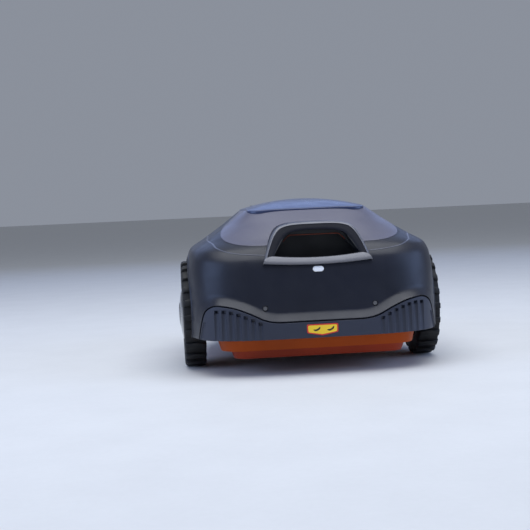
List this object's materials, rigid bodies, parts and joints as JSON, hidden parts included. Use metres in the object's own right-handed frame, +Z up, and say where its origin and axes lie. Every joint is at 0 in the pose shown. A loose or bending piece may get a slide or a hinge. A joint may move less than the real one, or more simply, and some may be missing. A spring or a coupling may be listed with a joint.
{
  "type": "robotic lawn mower",
  "caption": "Low domed robotic lawn mower with a floating shell, rear carry recess, hinged top hatch, drive wheels at the rear, front casters and a height-adjustable blade disc.",
  "frame": {"origin": "on the ground, under the middle of the machine's box", "axes": "+X to the machine's right, +Y forward in its direction of travel, +Z up"},
  "size_m": [0.4582, 0.62, 0.288],
  "materials": {
    "shell_plastic": "fine-grained dark slate moulding, semi-matt",
    "panel_lacquer": "satin lavender-grey lacquer",
    "apron_plastic": "slate-grey moulding",
    "hood_plastic": "satin grey with a polished lip",
    "dark_plastic": "near-black fine texture",
    "sill_metallic": "silver-grey satin",
    "sticker_vinyl": "yellow vinyl with red border",
    "lens_white": "milky translucent",
    "hatch_gloss": "dark blue-grey gloss",
    "orange_plastic": "orange moulding",
    "skid_plastic": "red-orange moulding",
    "grey_plastic": "grey moulding",
    "stop_red": "red gloss",
    "key_rubber": "soft-touch keys",
    "green_key_rubber": "soft-touch green key",
    "display_glass": "dark clear window",
    "circuit_board": "solder-masked board",
    "seal_rubber": "soft seal",
    "tyre_rubber": "black rubber",
    "hub_gloss": "glossy dark",
    "steel": "turned steel",
    "blade_steel": "ground stainless blade",
    "black_steel": "black-oxide screws",
    "motor_metal": "cast motor can",
    "contact_brass": "plated contact",
    "battery_shell": "ribbed battery case"
  },
  "bodies": {
    "chassis": {"belly_pan": "orange_plastic", "skid_plate": "skid_plastic", "battery_door": "skid_plastic", "battery_pack": "battery_shell", "chassis_lid": "grey_plastic", "main_board": "circuit_board", "gearmotor_left": "motor_metal", "gearmotor_right": "motor_metal", "charging_contacts": "contact_brass", "case_screws": "steel", "guide_rods": "steel"},
    "bump_carrier": {"float_plate": "dark_plastic"},
    "shell": {"outer_shell": "shell_plastic", "top_panel": "panel_lacquer", "rear_apron": "apron_plastic", "handle_hood": "hood_plastic", "handle_pocket": "dark_plastic", "handle_sill": "sill_metallic", "caution_sticker": "sticker_vinyl", "rear_lens": "lens_white", "wheel_arch_liners": "dark_plastic", "shell_posts": "grey_plastic", "shell_screws": "black_steel", "control_tray": "dark_plastic", "display_window": "display_glass", "control_board": "circuit_board", "hatch_seal": "seal_rubber", "hatch_hinge_ears": "shell_plastic", "hatch_pins": "steel", "stop_collar": "grey_plastic"},
    "hatch": {"hatch_lid": "hatch_gloss"},
    "stop": {"stop_button": "stop_red"},
    "power_key": {"key_power": "key_rubber"},
    "start_key": {"key_start": "green_key_rubber"},
    "home_key": {"key_home": "key_rubber"},
    "ok_key": {"key_ok": "key_rubber"},
    "cutter_carriage": {"motor_carriage": "grey_plastic", "blade_motor": "motor_metal"},
    "height_dial": {"lift_screw": "steel", "height_knob": "orange_plastic"},
    "cutter_disc": {"blade_disc": "dark_plastic", "blade_screws": "steel", "disc_shaft": "steel"},
    "blade_a": {"blade_1": "blade_steel"},
    "blade_b": {"blade_2": "blade_steel"},
    "blade_c": {"blade_3": "blade_steel"},
    "wheel_left": {"tyre_left": "tyre_rubber", "rim_left": "grey_plastic", "axle_left": "steel", "hub_cover_left": "hub_gloss"},
    "wheel_right": {"tyre_right": "tyre_rubber", "rim_right": "grey_plastic", "axle_right": "steel", "hub_cover_right": "hub_gloss"},
    "caster_left": {"caster_fork_left": "dark_plastic", "caster_axle_left": "steel"},
    "caster_right": {"caster_fork_right": "dark_plastic", "caster_axle_right": "steel"},
    "roller_left": {"caster_wheel_left": "tyre_rubber"},
    "roller_right": {"caster_wheel_right": "tyre_rubber"}
  },
  "joints": [
    {"name": "bump_slide", "type": "slide", "parent": "chassis", "child": "bump_carrier", "axis": [0, 1, 0], "range_m": [-0.005, 0.005], "stiffness_N_per_m": 3000},
    {"name": "shell_lift", "type": "slide", "parent": "bump_carrier", "child": "shell", "axis": [0, 0, 1], "range_m": [0, 0.008]},
    {"name": "hatch_hinge", "type": "hinge", "parent": "shell", "child": "hatch", "pos_m": [0, 0.085, 0.275], "axis": [-1, 0, 0], "range_deg": [0, 80]},
    {"name": "stop_press", "type": "slide", "parent": "shell", "child": "stop", "axis": [0, 0, -1], "range_m": [0, 0.005], "stiffness_N_per_m": 1200},
    {"name": "power_press", "type": "slide", "parent": "shell", "child": "power_key", "axis": [0, 0, -1], "range_m": [0, 0.0012], "stiffness_N_per_m": 800},
    {"name": "start_press", "type": "slide", "parent": "shell", "child": "start_key", "axis": [0, 0, -1], "range_m": [0, 0.0012], "stiffness_N_per_m": 800},
    {"name": "home_press", "type": "slide", "parent": "shell", "child": "home_key", "axis": [0, 0, -1], "range_m": [0, 0.0012], "stiffness_N_per_m": 800},
    {"name": "ok_press", "type": "slide", "parent": "shell", "child": "ok_key", "axis": [0, 0, -1], "range_m": [0, 0.0012], "stiffness_N_per_m": 800},
    {"name": "cutting_height", "type": "slide", "parent": "chassis", "child": "cutter_carriage", "axis": [0, 0, 1], "range_m": [0, 0.03]},
    {"name": "height_dial_turn", "type": "hinge", "parent": "chassis", "child": "height_dial", "pos_m": [0.048, 0.02, 0.2], "axis": [0, 0, 1], "range_deg": [0, 300]},
    {"name": "cutter_spin", "type": "hinge", "parent": "cutter_carriage", "child": "cutter_disc", "pos_m": [0, 0.02, 0.05], "axis": [0, 0, 1], "continuous": true},
    {"name": "blade_a_pivot", "type": "hinge", "parent": "cutter_disc", "child": "blade_a", "pos_m": [0.084, 0.02, 0.0295], "axis": [0, 0, 1], "continuous": true},
    {"name": "blade_b_pivot", "type": "hinge", "parent": "cutter_disc", "child": "blade_b", "pos_m": [-0.042, 0.09275, 0.0295], "axis": [0, 0, 1], "continuous": true},
    {"name": "blade_c_pivot", "type": "hinge", "parent": "cutter_disc", "child": "blade_c", "pos_m": [-0.042, -0.05275, 0.0295], "axis": [0, 0, 1], "continuous": true},
    {"name": "drive_left", "type": "hinge", "parent": "chassis", "child": "wheel_left", "pos_m": [-0.205, -0.112, 0.093], "axis": [1, 0, 0], "continuous": true},
    {"name": "drive_right", "type": "hinge", "parent": "chassis", "child": "wheel_right", "pos_m": [0.205, -0.112, 0.093], "axis": [1, 0, 0], "continuous": true},
    {"name": "caster_swivel_left", "type": "hinge", "parent": "chassis", "child": "caster_left", "pos_m": [-0.092, 0.222, 0.08], "axis": [0, 0, 1], "continuous": true},
    {"name": "caster_roll_left", "type": "hinge", "parent": "caster_left", "child": "roller_left", "pos_m": [-0.092, 0.208, 0.036], "axis": [1, 0, 0], "continuous": true},
    {"name": "caster_swivel_right", "type": "hinge", "parent": "chassis", "child": "caster_right", "pos_m": [0.092, 0.222, 0.08], "axis": [0, 0, 1], "continuous": true},
    {"name": "caster_roll_right", "type": "hinge", "parent": "caster_right", "child": "roller_right", "pos_m": [0.092, 0.208, 0.036], "axis": [1, 0, 0], "continuous": true}
  ],
  "couplings": [
    {"joint": "height_dial_turn", "follows": "cutting_height", "rad_per_m": 174.53}
  ]
}
